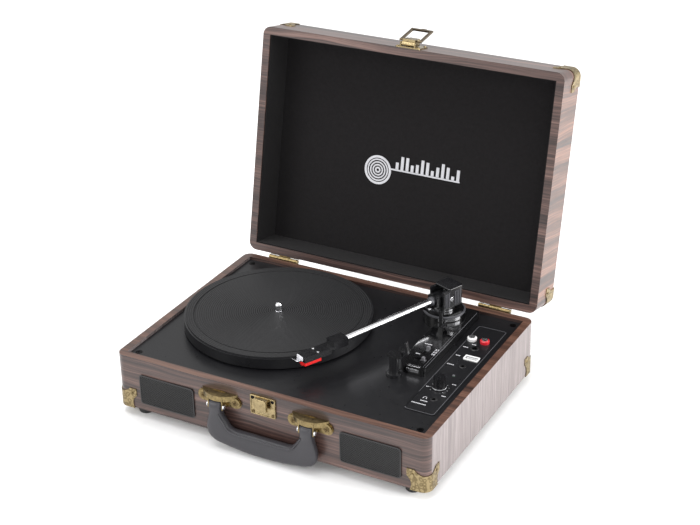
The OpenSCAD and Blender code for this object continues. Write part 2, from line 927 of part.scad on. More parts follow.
// Sleeve on the tube end with the plate that carries the cartridge and the finger lift.
module headshell() {
    color("#2a2a2c")
        difference() {
            on_head() {
                translate([0, -8, arm_z - 0.6]) cube([12.6, 17, 9], center = true);
                translate([0, -33.5, plate_low + 1.2]) cube([13, 35, 2.4], center = true);
                translate([0, -51.2, plate_low + 0.4]) cube([9, 1.2, 4], center = true);
                translate([0, -54, plate_low - 1.2]) cube([7, 6, 0.8], center = true);
            }
            on_arm()
                translate([0, -tube_front - sleeve_in + 12, arm_z]) depth_pin(tube_dia / 2, 24);
        }
}

// Black cartridge body under the headshell plate.
module cartridge() {
    color("#161617")
        on_head()
            translate([0, -35, (stylus_z + 5 + plate_low) / 2])
                cube([12.2, 31, plate_low - stylus_z - 5], center = true);
}

// Replaceable needle holder with its cantilever and tip.
module stylus() {
    color("#c8202a")
        on_head() {
            translate([0, -40.5, stylus_z + 3.1]) cube([10, 19, 3.8], center = true);
            translate([0, -48.5, stylus_z + 1.3]) cube([3, 5, 0.8], center = true);
            translate([0, -49.4, stylus_z]) cylinder(h = 1.2, r1 = 0.25, r2 = 0.6);
        }
}

// Post with a saddle for the parked arm and ears for the clip.
module arm_rest() {
    color("#1b1b1c")
        in_frame()
            translate([rest_x, rest_y, 0])
                difference() {
                    union() {
                        translate([0, 0, deck_top]) cylinder(h = 3, r = 8);
                        translate([0, 0, deck_top]) cylinder(h = saddle_z - 2 - deck_top, r = 4.6);
                        translate([1, 0, saddle_z - 1.5]) cube([13, 8, 3], center = true);
                        translate([clip_pin_x - rest_x - 1.2, 0, saddle_z + 1.2])
                            cube([5, 8, 8], center = true);
                    }
                    translate([clip_pin_x - rest_x, 0, clip_pin_z]) {
                        cube([8, 4.4, 9], center = true);
                        depth_pin(0.85, 20);
                    }
                }
}

// Hinged clip that holds the parked arm, drawn open.
module arm_clip() {
    color("#222223")
        in_frame()
            translate([clip_pin_x, rest_y, clip_pin_z]) {
                depth_pin(0.8, 8);
                rotate([0, clip_open, 0]) {
                    translate([0, 0, 3.6]) cube([2.4, 3.8, 7.2], center = true);
                    translate([-5.4, 0, 7.2]) cube([12, 3.8, 1.8], center = true);
                }
                depth_pin(1.8, 3.8);
            }
}

// Lever on the platform that raises the arm through the lift rod.
module lift_lever() {
    color("#222224")
        in_frame()
            translate([lever_at.x, lever_at.y, lever_pin_z]) {
                depth_pin(1.2, 11.2);
                depth_pin(2.2, 6.4);
                translate([7, 0, 0]) cube([14, 4, 2], center = true);
                translate([14, 0, 0.4]) cube([5, 6, 2.4], center = true);
            }
}

// Rod with a curved rail on top, which raises the arm tube.
module lift_rod() {
    color("#232325")
        in_frame() {
            translate([rod_at.x, rod_at.y, deck_under - 4])
                cylinder(h = rail_low + 1 - deck_under + 4, r = 2.1);
            translate([pivot_x, pivot_y, rail_low])
                linear_extrude(rail_t)
                    intersection() {
                        difference() {
                            circle(rail_r + 1.7);
                            circle(rail_r - 1.7);
                        }
                        polygon([[0, 0], [-60 * sin(48), -60 * cos(48)], [-60 * sin(11), -60 * cos(11)],
                                 [60 * sin(26), -60 * cos(26)]]);
                    }
        }
}

// Wooden lid box, open towards the base.
module lid_shell() {
    color("#5d4740")
        on_lid()
            translate([0, 0, closed_gap]) {
                case_ring(lid_h - closed_gap);
                translate([0, 0, lid_h - closed_gap - lid_top_t])
                    linear_extrude(lid_top_t) square([in_w, in_d], center = true);
            }
}

// Cloth covered card that lines the inside of the lid.
module lid_lining() {
    low = 1.2;
    high = lid_h - lid_top_t;
    color("#232223")
        on_lid()
            difference() {
                translate([0, 0, low]) linear_extrude(high - low) square([in_w, in_d], center = true);
                translate([0, 0, low - 1])
                    linear_extrude(high - low - lining_t + 1)
                        square([in_w - 2 * lining_t, in_d - 2 * lining_t], center = true);
            }
}

// Plate on the lid front with two ears for the latch lever.
module latch_plate() {
    color("#b8a27a")
        on_lid()
            translate([latch_x, -half_d, 0])
                difference() {
                    union() {
                        translate([0, -plate_t / 2, 12.5])
                            front_round_rect(plate_w, 21, 1.5, plate_t);
                        for (side = [-1, 1])
                            translate([side * (lever_w / 2 + 1), -3, lever_pin_h])
                                cube([1.2, 6, 5], center = true);
                        for (sx = [-1, 1], z = [4.6, 20.4])
                            translate([sx * (plate_w / 2 - 2.6), -plate_t - 0.35, z])
                                depth_pin(1.4, 0.7);
                    }
                    translate([0, -lever_pin_out, lever_pin_h]) cross_pin(latch_pin_r + 0.05, 40);
                }
}

// Lever of the latch with its pivot pin and the hole for the loop; its top end lifts.
module latch_lever() {
    color("#c0aa7c")
        on_lid()
            translate([latch_x, -half_d, 0])
                difference() {
                    union() {
                        translate([-lever_w / 2, -lever_front, lever_pin_h])
                            cube([lever_w, lever_front - 1.8, 11.5]);
                        translate([0, -lever_pin_out, lever_pin_h]) {
                            cross_pin(2.2, lever_w);
                            cross_pin(latch_pin_r, lever_w + 3.6);
                        }
                        translate([-lever_w / 2 + 2, -lever_front, lever_pin_h + 11])
                            cube([lever_w - 4, 2, 4]);
                    }
                    translate([0, -loop_pin_out, loop_pin_h]) cross_pin(latch_pin_r + 0.08, 40);
                }
}

// Flat wire loop that swings down over the hook, drawn thrown back.
module latch_loop() {
    color("#4a4238")
        on_lid()
            translate([latch_x, -half_d - loop_pin_out, loop_pin_h])
                rotate([loop_rest, 0, 0]) {
                    translate([0, 0, loop_len]) cube([loop_w, loop_t, loop_band], center = true);
                    for (side = [-1, 1]) {
                        translate([side * (loop_w - loop_band) / 2, 0, loop_len / 2])
                            cube([loop_band, loop_t, loop_len], center = true);
                        translate([side * (loop_w / 2 - 2.9), 0, 0]) cross_pin(latch_pin_r, 5.8);
                        translate([side * (loop_w - loop_band) / 2, 0, 0]) cross_pin(1.2, loop_band);
                    }
                    translate([1.5, 0, loop_len + 1.8]) cube([6, loop_t, 1.6], center = true);
                }
}

// Hinge leaf for the base; its two outer knuckles hold the pin.
module hinge_leaf_base(side) {
    color("#ab8f56")
        in_frame()
            translate([side * hinge_x, 0, 0]) {
                translate([-hinge_w / 2, half_d, rim_z - 2 - leaf_h]) cube([hinge_w, leaf_t, leaf_h]);
                for (end = [-1, 1])
                    translate([end * (hinge_w / 2 - 5.6), hinge_y, rim_z]) cross_pin(knuckle_r, 11.2);
                translate([0, hinge_y, rim_z]) cross_pin(hinge_pin_r, hinge_w);
                for (end = [-1, 1])
                    translate([end * (hinge_w / 2 - 5.6), half_d + 1.6, rim_z - 2])
                        cube([11.2, 3.2, 2.4], center = true);
            }
}

// Hinge leaf for the lid; its middle knuckle turns on the pin.
module hinge_leaf_lid(side) {
    color("#ab8f56")
        on_lid()
            translate([side * hinge_x, 0, 0])
                difference() {
                    union() {
                        translate([-hinge_w / 2, half_d, 2]) cube([hinge_w, leaf_t, leaf_h]);
                        translate([0, hinge_y, 0]) cross_pin(knuckle_r, 13);
                        translate([0, half_d + 1.6, 2]) cube([13, 3.2, 2.4], center = true);
                    }
                    translate([0, hinge_y, 0]) cross_pin(hinge_pin_r + 0.05, 20);
                }
}

base_walls();
base_bottom();
foot(-1, -1);  // foot_front_left
foot(1, -1);  // foot_front_right
foot(-1, 1);  // foot_back_left
foot(1, 1);  // foot_back_right
base_guard(-1, -1);  // base_guard_front_left
base_guard(1, -1);  // base_guard_front_right
base_guard(-1, 1);  // base_guard_back_left
base_guard(1, 1);  // base_guard_back_right
lid_guard(-1, -1);  // lid_guard_front_left
lid_guard(1, -1);  // lid_guard_front_right
lid_guard(-1, 1);  // lid_guard_back_left
lid_guard(1, 1);  // lid_guard_back_right
grille(-1);  // grille_left
grille(1);  // grille_right
speaker(-1);  // speaker_left
speaker(1);  // speaker_right
latch_keeper();
handle_bracket(-1);  // handle_bracket_left
handle_bracket(1);  // handle_bracket_right
handle_pins();
handle();
case_screws();
deck();
tonearm_platform();
spindle();
platter();
platter_mat();
drive_belt();
motor();
motor_pulley();
main_board();
rca_sockets();
usb_socket();
power_jack();
line_in_jack();
headphone_jack();
volume_knob();
speed_switch();
auto_stop_switch();
tonearm_yoke();
tonearm_block();
tonearm_tube();
headshell();
cartridge();
stylus();
arm_rest();
arm_clip();
lift_lever();
lift_rod();
lid_shell();
lid_lining();
latch_plate();
latch_lever();
latch_loop();
hinge_leaf_base(-1);  // hinge_leaf_base_left
hinge_leaf_base(1);  // hinge_leaf_base_right
hinge_leaf_lid(-1);  // hinge_leaf_lid_left
hinge_leaf_lid(1);  // hinge_leaf_lid_right
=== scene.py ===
import json
import math
import bpy
import bmesh
from mathutils import Matrix, Vector


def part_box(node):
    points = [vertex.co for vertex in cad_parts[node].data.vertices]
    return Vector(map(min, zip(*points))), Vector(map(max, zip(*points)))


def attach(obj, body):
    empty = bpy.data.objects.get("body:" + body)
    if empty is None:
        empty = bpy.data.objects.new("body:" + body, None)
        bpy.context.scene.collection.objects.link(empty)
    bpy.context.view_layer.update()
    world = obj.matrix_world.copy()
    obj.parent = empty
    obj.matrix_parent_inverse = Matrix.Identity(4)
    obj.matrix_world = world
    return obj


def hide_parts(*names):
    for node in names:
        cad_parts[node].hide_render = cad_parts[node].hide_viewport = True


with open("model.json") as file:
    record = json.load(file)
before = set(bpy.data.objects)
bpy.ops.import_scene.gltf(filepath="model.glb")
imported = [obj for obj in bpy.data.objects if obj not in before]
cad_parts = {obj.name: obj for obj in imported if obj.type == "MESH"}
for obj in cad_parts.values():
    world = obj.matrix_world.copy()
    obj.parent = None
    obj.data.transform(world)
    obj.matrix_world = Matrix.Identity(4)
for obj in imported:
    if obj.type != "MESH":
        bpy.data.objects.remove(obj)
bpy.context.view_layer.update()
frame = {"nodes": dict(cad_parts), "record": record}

nodes = frame["nodes"]

# ---------------------------------------------------------------- places
# Case coordinates are millimetres: x and y from the middle of the case, z from its rim.
walls_low, walls_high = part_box("base_walls")
SHIFT_Y = (walls_low[1] + walls_high[1]) / 2
RIM_Z = walls_high[2]
LID_OPEN = math.radians(101.8)
HINGE_Y = 0.1284
HINGE = Vector((0.0, SHIFT_Y + HINGE_Y, RIM_Z))
HALF_D = 125.0
PIVOT = (88.0, 88.0)
ARM_TURN = math.radians(22.1)
HEAD_TURN = math.radians(3.7)
ARM_Z = 25.0
TUBE_FRONT = 133.0
REST_REACH, REST_TURN = 121, math.radians(1.4)
REST_AT = (PIVOT[0] + REST_REACH * math.sin(REST_TURN), PIVOT[1] - REST_REACH * math.cos(REST_TURN))
SPINDLE_AT = (-62, 8)


def place(x, y, z):
    """A point in case coordinates as a point in the frame, in metres."""
    return Vector((x / 1000, y / 1000 + SHIFT_Y, z / 1000 + RIM_Z))


CASE = Matrix.Translation((0, SHIFT_Y, RIM_Z)) @ Matrix.Scale(0.001, 4)
LID = (Matrix.Translation(HINGE) @ Matrix.Rotation(-LID_OPEN, 4, "X")
       @ Matrix.Translation((0, -HINGE_Y, 0)) @ Matrix.Scale(0.001, 4))
ARM = CASE @ Matrix.Translation((*PIVOT, 0)) @ Matrix.Rotation(-ARM_TURN, 4, "Z")
HEAD = ARM @ Matrix.Translation((0, -TUBE_FRONT, 0)) @ Matrix.Rotation(-HEAD_TURN, 4, "Z")


# ---------------------------------------------------------------- node helpers
class Tree:
    """A material being built, with short calls for the nodes it needs."""

    def __init__(self, name):
        self.material = bpy.data.materials.new(name)
        self.material.use_nodes = True
        self.nodes = self.material.node_tree.nodes
        self.links = self.material.node_tree.links
        self.shader = self.nodes["Principled BSDF"]

    def add(self, kind, inputs=None, **settings):
        made = self.nodes.new("ShaderNode" + kind)
        for key, value in settings.items():
            setattr(made, key, value)
        for key, value in (inputs or {}).items():
            self.put(made.inputs[key], value)
        return made

    def put(self, socket, value):
        if isinstance(value, bpy.types.NodeSocket):
            self.links.new(value, socket)
        else:
            socket.default_value = value

    def set(self, **values):
        for key, value in values.items():
            self.put(self.shader.inputs[key.replace("_", " ")], value)

    def math(self, operation, a, b=0.0, c=0.0):
        return self.add("Math", {0: a, 1: b, 2: c}, operation=operation).outputs[0]

    def noise(self, vector, scale, detail=2.0, rough=0.5):
        return self.add("TexNoise", {"Vector": vector, "Scale": scale, "Detail": detail,
                                     "Roughness": rough}).outputs["Fac"]

    def vector(self, x, y, z=0.0):
        return self.add("CombineXYZ", {0: x, 1: y, 2: z}).outputs[0]

    def split(self, vector):
        return self.add("SeparateXYZ", {0: vector}).outputs

    def ramp(self, factor, stops):
        made = self.add("ValToRGB", {"Fac": factor})
        points = made.color_ramp.elements
        while len(points) < len(stops):
            points.new(0.5)
        for point, (where, colour) in zip(points, stops):
            point.position = where
            point.color = (*colour, 1)
        return made.outputs["Color"]

    def blend(self, factor, a, b):
        made = self.add("Mix", {"Factor": factor}, data_type="RGBA")
        self.put(made.inputs[6], a)
        self.put(made.inputs[7], b)
        return made.outputs[2]

    def bump(self, height, distance, strength=1.0, onto=None):
        made = self.add("Bump", {"Height": height, "Distance": distance, "Strength": strength})
        if onto is not None:
            self.links.new(onto, made.inputs["Normal"])
        return made.outputs["Normal"]


def rgb(red, green, blue):
    """A colour as seen on a screen, 0 to 255, as linear light."""
    def linear(value):
        value /= 255
        return value / 12.92 if value <= 0.04045 else ((value + 0.055) / 1.055) ** 2.4
    return (linear(red), linear(green), linear(blue))


def surface(name, colour, rough, metal=0.0, coat=0.0, mottle=0.12, mottle_size=0.006,
            grain=0.2, grain_size=0.0005, wear=None, shine=0.5):
    """A moulded, painted or plated surface: mottled colour, uneven gloss and a fine grain."""
    t = Tree(name)
    where = t.add("TexCoord").outputs["Object"]
    cloud = t.noise(where, 1 / mottle_size, 4, 0.6)
    dark = tuple(c * (1 - mottle) for c in colour)
    light = tuple(min(1.0, c * (1 + mottle)) for c in colour)
    tone = t.ramp(cloud, [(0.3, dark), (0.7, light)])
    if wear is not None:
        spots = t.ramp(t.noise(where, 2.2 / mottle_size, 6, 0.75),
                       [(0.52, (0, 0, 0)), (0.68, (1, 1, 1))])
        tone = t.blend(t.math("MULTIPLY", spots, 0.75), tone, (*wear, 1))
    fine = t.noise(where, 1 / grain_size, 2, 0.5)
    gloss = t.math("MULTIPLY_ADD", cloud, 0.14, rough - 0.07)
    t.set(Base_Color=tone, Roughness=gloss, Metallic=metal, Coat_Weight=coat,
          Coat_Roughness=0.08, Normal=t.bump(fine, grain_size * 0.25, grain))
    t.shader.inputs["Specular IOR Level"].default_value = shine
    return t.material


def lid_or_case(t, tilted):
    """Position and normal, turned to the closed lid's axes where they are wanted."""
    coords = t.add("TexCoord")
    where, normal = coords.outputs["Object"], coords.outputs["Normal"]
    if tilted:
        turned = [t.add("VectorRotate", {"Vector": v, "Angle": LID_OPEN},
                        rotation_type="X_AXIS").outputs[0] for v in (where, normal)]
        where, normal = turned
    return where, normal


# veneer tones by streak height: the faces, the lid's sides, the case's rim and the case's sides; the case's
# sides are painted pale, a painted reflection of light washing over them
FACE_TONES = [(0.37, rgb(28, 20, 19)), (0.47, rgb(56, 41, 38)), (0.55, rgb(86, 64, 58)),
              (0.66, rgb(126, 99, 91))]
LID_SIDE_TONES = [(0.4, rgb(34, 21, 17)), (0.5, rgb(80, 54, 43)), (0.62, rgb(132, 96, 80))]
RIM_TONES = [(0.38, rgb(34, 22, 18)), (0.5, rgb(74, 49, 39)), (0.64, rgb(106, 76, 62))]
CASE_SIDE_GLARE_TONES = [(0.38, rgb(82, 72, 71)), (0.5, rgb(111, 101, 100)), (0.62, rgb(138, 128, 127))]


def wood(name, tilted):
    """Dark streaked veneer: the grain runs along X, and up and down on the two sides."""
    t = Tree(name)
    where, normal = lid_or_case(t, tilted)
    x, y, z = t.split(where)
    nx, ny, nz = t.split(normal)
    side = t.math("GREATER_THAN", t.math("ABSOLUTE", nx), 0.985)
    level = t.math("GREATER_THAN", t.math("ABSOLUTE", nz), 0.7)

    def either(switch, yes, no):
        return t.add("Mix", {"Factor": switch, 2: no, 3: yes}).outputs[0]

    along = either(side, z, x)
    across = either(t.math("MAXIMUM", side, level), y, z)
    # each sheet of veneer has a streak pattern of its own
    sheet = t.math("MULTIPLY_ADD", side, 3.0, t.math("MULTIPLY", t.math("ROUND", nz), 7.0))
    slow = t.vector(t.math("MULTIPLY", along, 7), t.math("MULTIPLY", across, 16), sheet)
    waved = t.math("MULTIPLY_ADD", t.noise(slow, 1, 3), 0.016, across)

    def streaks(run, pitch, detail):
        stretched = t.vector(t.math("MULTIPLY", along, run), t.math("MULTIPLY", waved, pitch), sheet)
        return t.noise(stretched, 1, detail, 0.6)

    bands, lines, pores = streaks(1.6, 75, 3), streaks(5, 430, 3), streaks(34, 2100, 1)

    def mixed(band_share, line_share, pore_share):
        rest = t.math("MULTIPLY_ADD", lines, line_share, t.math("MULTIPLY", pores, pore_share))
        return t.math("MULTIPLY_ADD", bands, band_share, rest)

    broad = mixed(0.46, 0.4, 0.14)
    tone = t.ramp(broad, FACE_TONES)
    if tilted:
        tone = t.blend(side, tone, t.ramp(broad, LID_SIDE_TONES))
    else:
        tone = t.blend(level, tone, t.ramp(broad, RIM_TONES))
        # the case's sides get the pale tones: a painted reflection of light on the walls
        tone = t.blend(side, tone, t.ramp(mixed(0.15, 0.55, 0.3), CASE_SIDE_GLARE_TONES))
    height = t.math("MULTIPLY_ADD", pores, 0.5, lines)
    t.set(Base_Color=tone, Roughness=t.math("MULTIPLY_ADD", lines, 0.2, 0.26), Coat_Weight=0.25,
          Coat_Roughness=0.2, Normal=t.bump(height, 0.00012, 0.5))
    return t.material


def cloth(name):
    """Fine plain weave over card."""
    t = Tree(name)
    where, _ = lid_or_case(t, True)
    x, y, z = t.split(where)
    pitch = 2 * math.pi / 0.0009
    warp = t.math("SINE", t.math("MULTIPLY", x, pitch))
    weft = t.math("SINE", t.math("MULTIPLY", t.math("ADD", y, z), pitch))
    weave = t.math("MULTIPLY_ADD", t.math("MULTIPLY", warp, weft), 0.5, 0.5)
    slub = t.noise(where, 260, 4, 0.7)
    height = t.math("MULTIPLY_ADD", weave, 0.6, t.math("MULTIPLY", slub, 0.4))
    tone = t.ramp(height, [(0.25, rgb(12, 11, 12)), (0.75, rgb(31, 29, 30))])
    soft = t.noise(where, 11, 2)
    t.shader.inputs["Specular IOR Level"].default_value = 0.12
    t.set(Base_Color=tone, Roughness=0.92, Sheen_Weight=0.04, Sheen_Roughness=0.6,
          Normal=t.bump(height, 0.00016, 0.8, t.bump(soft, 0.004, 0.35)))
    return t.material


def ribbed_mat(name, centre):
    """Rubber with fine rings about the spindle."""
    t = Tree(name)
    where = t.add("TexCoord").outputs["Object"]
    x, y, z = t.split(where)
    dx, dy = t.math("SUBTRACT", x, centre.x), t.math("SUBTRACT", y, centre.y)
    radius = t.math("SQRT", t.math("ADD", t.math("MULTIPLY", dx, dx), t.math("MULTIPLY", dy, dy)))
    rings = t.math("SINE", t.math("MULTIPLY", radius, 2 * math.pi / 0.0022))
    dust = t.noise(where, 1500, 2)
    tone = t.ramp(t.math("MULTIPLY_ADD", rings, 0.22, t.math("MULTIPLY", dust, 0.9)),
                  [(0.2, rgb(12, 12, 13)), (0.8, rgb(34, 34, 36))])
    t.shader.inputs["Specular IOR Level"].default_value = 0.3
    t.set(Base_Color=tone, Roughness=0.55,
          Normal=t.bump(rings, 0.00022, 0.8, t.bump(dust, 0.0001, 0.3)))
    return t.material


def embossed(name, colour, dark, pitch):
    """Pressed plating: low leaf-like swellings with dark stain in the hollows."""
    t = Tree(name)
    where = t.add("TexCoord").outputs["Object"]
    drift = t.noise(where, 0.5 / pitch, 2)
    voronoi = t.add("TexVoronoi", {"Vector": where, "Scale": 1 / pitch}, feature="SMOOTH_F1")
    cells = voronoi.outputs["Distance"]
    curls = t.math("MULTIPLY_ADD", t.math("SINE", t.math("MULTIPLY_ADD", cells, 11, drift)), 0.5, 0.5)
    stain = t.noise(where, 2.6 / pitch, 5, 0.7)
    height = t.math("MULTIPLY_ADD", curls, 0.45, t.math("MULTIPLY", stain, 0.55))
    tone = t.ramp(height, [(0.12, dark), (0.6, colour)])
    t.set(Base_Color=tone, Metallic=1.0, Roughness=t.math("MULTIPLY_ADD", stain, 0.3, 0.27),
          Normal=t.bump(height, 0.0003, 0.5))
    return t.material


def screws(name):
    """Brass screws on the front, and black ones in the deck."""
    t = Tree(name)
    where = t.add("TexCoord").outputs["Object"]
    high = t.math("GREATER_THAN", t.split(where)[2], RIM_Z - 0.008)
    spots = t.noise(where, 700, 4, 0.7)
    brass = t.ramp(spots, [(0.3, rgb(60, 50, 34)), (0.65, rgb(128, 110, 78))])
    black = t.ramp(spots, [(0.3, rgb(12, 12, 13)), (0.65, rgb(30, 30, 32))])
    t.set(Base_Color=t.blend(high, brass, black), Metallic=1.0, Roughness=0.35,
          Normal=t.bump(spots, 0.0001, 0.3))
    return t.material


materials = {
    "case_wood": wood("veneer_case", False),
    "lid_wood": wood("veneer_lid", True),
    "bottom_board": surface("hardboard", rgb(74, 62, 54), 0.7, grain=0.6),
    "foot_rubber": surface("foot_rubber", rgb(30, 30, 31), 0.6, grain=0.4),
    "antique_brass": surface("antique_brass", rgb(132, 116, 82), 0.3, metal=1.0, mottle=0.3,
                             mottle_size=0.0045, wear=rgb(48, 39, 26), grain=0.25, grain_size=0.0007),
    "guard_brass": embossed("guard_brass", rgb(156, 140, 106), rgb(92, 79, 55), 0.0036),
    "case_screws": screws("case_screws"),
    "pale_brass": surface("pale_brass", rgb(154, 138, 104), 0.26, metal=1.0, mottle=0.2,
                          wear=rgb(84, 71, 48)),
    "dark_brass": surface("dark_brass", rgb(96, 84, 66), 0.35, metal=1.0, mottle=0.2,
                          wear=rgb(40, 34, 28)),
    "grille_metal": surface("grille_paint", rgb(26, 26, 27), 0.4),
    "speaker_body": surface("speaker_body", rgb(20, 20, 21), 0.7),
    "handle_plastic": surface("handle_plastic", rgb(52, 51, 55), 0.36, shine=0.4, mottle=0.05,
                              grain=0.45, grain_size=0.0009),
    "bright_steel": surface("bright_steel", rgb(205, 205, 208), 0.22, metal=1.0, mottle=0.06),
    "deck_plastic": surface("deck_plastic", rgb(20, 20, 22), 0.3, shine=0.3, mottle=0.06,
                            grain=0.12, grain_size=0.0006),
    "gloss_black": surface("gloss_black", rgb(14, 14, 15), 0.13, coat=0.6, mottle=0.1,
                           grain=0.03, grain_size=0.002),
    "polished_chrome": surface("polished_chrome", rgb(225, 225, 228), 0.15, metal=1.0, mottle=0.04,
                               grain=0.04),
    "platter_plastic": surface("platter_plastic", rgb(22, 22, 24), 0.3, shine=0.35, mottle=0.08),
    "mat_rubber": ribbed_mat("mat_rubber", place(*SPINDLE_AT, 0)),
    "belt_rubber": surface("belt_rubber", rgb(24, 24, 24), 0.7),
    "motor_can": surface("motor_can", rgb(170, 170, 172), 0.35, metal=1.0),
    "pulley_brass": surface("pulley_brass", rgb(200, 170, 95), 0.25, metal=1.0),
    "circuit_board": surface("circuit_board", rgb(38, 88, 52), 0.4),
    "white_socket": surface("white_socket", rgb(226, 226, 226), 0.3, coat=0.3, mottle=0.03),
    "red_socket": surface("red_socket", rgb(190, 28, 40), 0.3, coat=0.3, mottle=0.06),
    "usb_shell": surface("usb_shell", rgb(210, 210, 212), 0.25, metal=1.0, mottle=0.05),
    "socket_black": surface("socket_black", rgb(20, 20, 21), 0.3, coat=0.3),
    "knob_plastic": surface("knob_plastic", rgb(17, 17, 19), 0.2, coat=0.5, mottle=0.08),
    "switch_plastic": surface("switch_plastic", rgb(96, 96, 99), 0.35, mottle=0.08),
    "arm_plastic": surface("arm_plastic", rgb(20, 20, 22), 0.24, coat=0.4, mottle=0.08, grain=0.15),
    "stylus_plastic": surface("stylus_plastic", rgb(208, 26, 26), 0.28, coat=0.4, mottle=0.08),
    "lining_cloth": cloth("lining_cloth"),
    "emblem_metal": surface("emblem_metal", rgb(196, 196, 200), 0.32, metal=0.7, mottle=0.05),
    "print_white": surface("print_white", rgb(200, 200, 204), 0.5, mottle=0.05),
    "line_grey": surface("line_grey", rgb(92, 92, 96), 0.4, mottle=0.05),
    "cheek_grey": surface("cheek_grey", rgb(70, 70, 74), 0.34, mottle=0.08),
    "mesh_black": surface("mesh_black", rgb(30, 30, 31), 0.42, mottle=0.15),
    "back_black": surface("back_black", rgb(7, 7, 7), 0.8),
}


# ---------------------------------------------------------------- CAD nodes
SLOT_OF = {row["node"]: row["material_slot"] for row in frame["record"]["subparts"]}
LOOK_OF = {"lid_shell": "lid_wood", "case_screws": "case_screws"}
BEVELS = {"base_walls": 0.0012, "lid_shell": 0.0012, "handle": 0.0022, "deck": 0.0004,
          "tonearm_platform": 0.0008, "tonearm_yoke": 0.0009, "tonearm_block": 0.0009,
          "headshell": 0.0006, "cartridge": 0.0006, "stylus": 0.0002, "platter": 0.0008,
          "volume_knob": 0.0005, "arm_rest": 0.0005, "lid_lining": 0.0004,
          "latch_lever": 0.0006, "latch_loop": 0.0007, "latch_plate": 0.0003,
          "latch_keeper": 0.0004, "grille_left": 0.0, "grille_right": 0.0,
          "arm_clip": 0.0004, "lift_lever": 0.0005, "lift_rod": 0.0005, "usb_socket": 0.0002}
SHEET_METAL_BEVEL, OTHER_BEVEL = 0.0003, 0.0002
SOFTEST = ("handle", "base_walls", "lid_shell")


def smooth(obj, bevel, segments=2, angle=32):
    """Soft edges: faces meet smoothly up to an angle, and sharper edges get a small bevel."""
    obj.data.shade_smooth()
    obj.data.set_sharp_from_angle(angle=math.radians(angle))
    if bevel:
        edge = obj.modifiers.new("edge", "BEVEL")
        edge.width = bevel
        edge.segments = segments
        edge.limit_method = "ANGLE"
        edge.angle_limit = math.radians(angle)
        edge.use_clamp_overlap = True
        weighted = obj.modifiers.new("normals", "WEIGHTED_NORMAL")
        weighted.keep_sharp = True


for name, obj in nodes.items():
    look = "guard_brass" if "_guard_" in name else LOOK_OF.get(name, SLOT_OF[name])
    obj.data.materials.clear()
    obj.data.materials.append(materials[look])
    is_sheet_metal = any(word in name for word in ("guard", "bracket", "hinge"))
    default = SHEET_METAL_BEVEL if is_sheet_metal else OTHER_BEVEL
    smooth(obj, BEVELS.get(name, default), 3 if name in SOFTEST else 2)


# ---------------------------------------------------------------- mesh helpers, in millimetres
BLOCK_FACES = [(0, 1, 3, 2), (4, 6, 7, 5), (0, 4, 5, 1), (2, 3, 7, 6), (0, 2, 6, 4), (1, 5, 7, 3)]


def turns(count):
    """Equal steps round a full turn."""
    return [2 * math.pi * i / count for i in range(count)]


def box(x0, x1, y0, y1, z0, z1):
    """Corners and faces of a block between three pairs of limits."""
    points = [(x, y, z) for x in (x0, x1) for y in (y0, y1) for z in (z0, z1)]
    return points, BLOCK_FACES


def bar(a, b, wide, thick, up=(0, 0, 1)):
    """A flat strip from a to b, its thickness along up."""
    a, b, up = Vector(a), Vector(b), Vector(up)
    side = (b - a).cross(up).normalized() * wide / 2
    rise = up.normalized() * thick / 2
    points = [tuple(end + s * side + r * rise) for end in (a, b) for s in (-1, 1) for r in (-1, 1)]
    return points, BLOCK_FACES


def path_bars(path, wide, thick):
    """Level strips along a path."""
    return [bar(a, b, wide, thick) for a, b in zip(path, path[1:])]


def turned(low, radius, shoulder, top, crown, bore=0.2):
    """Profile of a head or a collar: straight up to the shoulder, then sloping in to the crown."""
    return [(bore, low), (radius, low), (radius, shoulder), (crown, top), (bore, top)]


def sleeve(bore, radius, low, high):
    """Profile of a plain tube."""
    return [(bore, low), (radius, low), (radius, high), (bore, high)]


def lathe(profile, at=(0, 0, 0), axis="Z", count=40):
    """A closed profile of (radius, height) points turned about an axis."""
    points, faces = [], []
    for turn in turns(count):
        for r, h in profile:
            a, b = r * math.cos(turn), r * math.sin(turn)
            local = {"Z": (a, b, h), "Y": (b, h, a), "X": (h, a, b)}[axis]
            points.append(tuple(p + q for p, q in zip(local, at)))
    n = len(profile)
    for i in range(count):
        j = (i + 1) % count
        for k in range(n):
            m = (k + 1) % n
            faces.append((i * n + k, i * n + m, j * n + m, j * n + k))
    return points, faces


def skin(rings):
    """A closed mesh through rings that all have the same number of points."""
    n, last = len(rings[0]), len(rings) - 1
    points = [p for ring in rings for p in ring]
    faces = [(i * n + k, i * n + (k + 1) % n, (i + 1) * n + (k + 1) % n, (i + 1) * n + k)
             for i in range(last) for k in range(n)]
    faces += [tuple(range(n)), tuple(last * n + k for k in range(n - 1, -1, -1))]
    return points, faces


def rounded(width, height, radius, at=(0, 0), steps=6):
    """Points round a rectangle with round corners, centred on a place."""
    out = []
    for cx, cy, start in ((1, 1, 0), (-1, 1, 90), (-1, -1, 180), (1, -1, 270)):
        for i in range(steps + 1):
            turn = math.radians(start + 90 * i / steps)
            out.append((cx * (width / 2 - radius) + radius * math.cos(turn) + at[0],
                        cy * (height / 2 - radius) + radius * math.sin(turn) + at[1]))
    return out


def slab(outline, low, high, put):
    """A closed plate: an outline given two heights, each point placed by put(a, b, h)."""
    n = len(outline)
    points = [put(a, b, h) for h in (low, high) for a, b in outline]
    faces = [tuple(range(n)), tuple(range(2 * n - 1, n - 1, -1))]
    faces += [(i, (i + 1) % n, n + (i + 1) % n, n + i) for i in range(n)]
    return points, faces


def ring_slab(outer, inner, low, high, put):
    """A flat ring between two outlines with the same number of points."""
    n = len(outer)
    points = [put(a, b, h) for h in (low, high) for line in (outer, inner) for a, b in line]
    faces = []
    for i in range(n):
        j = (i + 1) % n
        faces += [(i, j, n + j, n + i), (2 * n + i, 3 * n + i, 3 * n + j, 2 * n + j),
                  (i, 2 * n + i, 2 * n + j, j), (n + i, n + j, 3 * n + j, 3 * n + i)]
    return points, faces


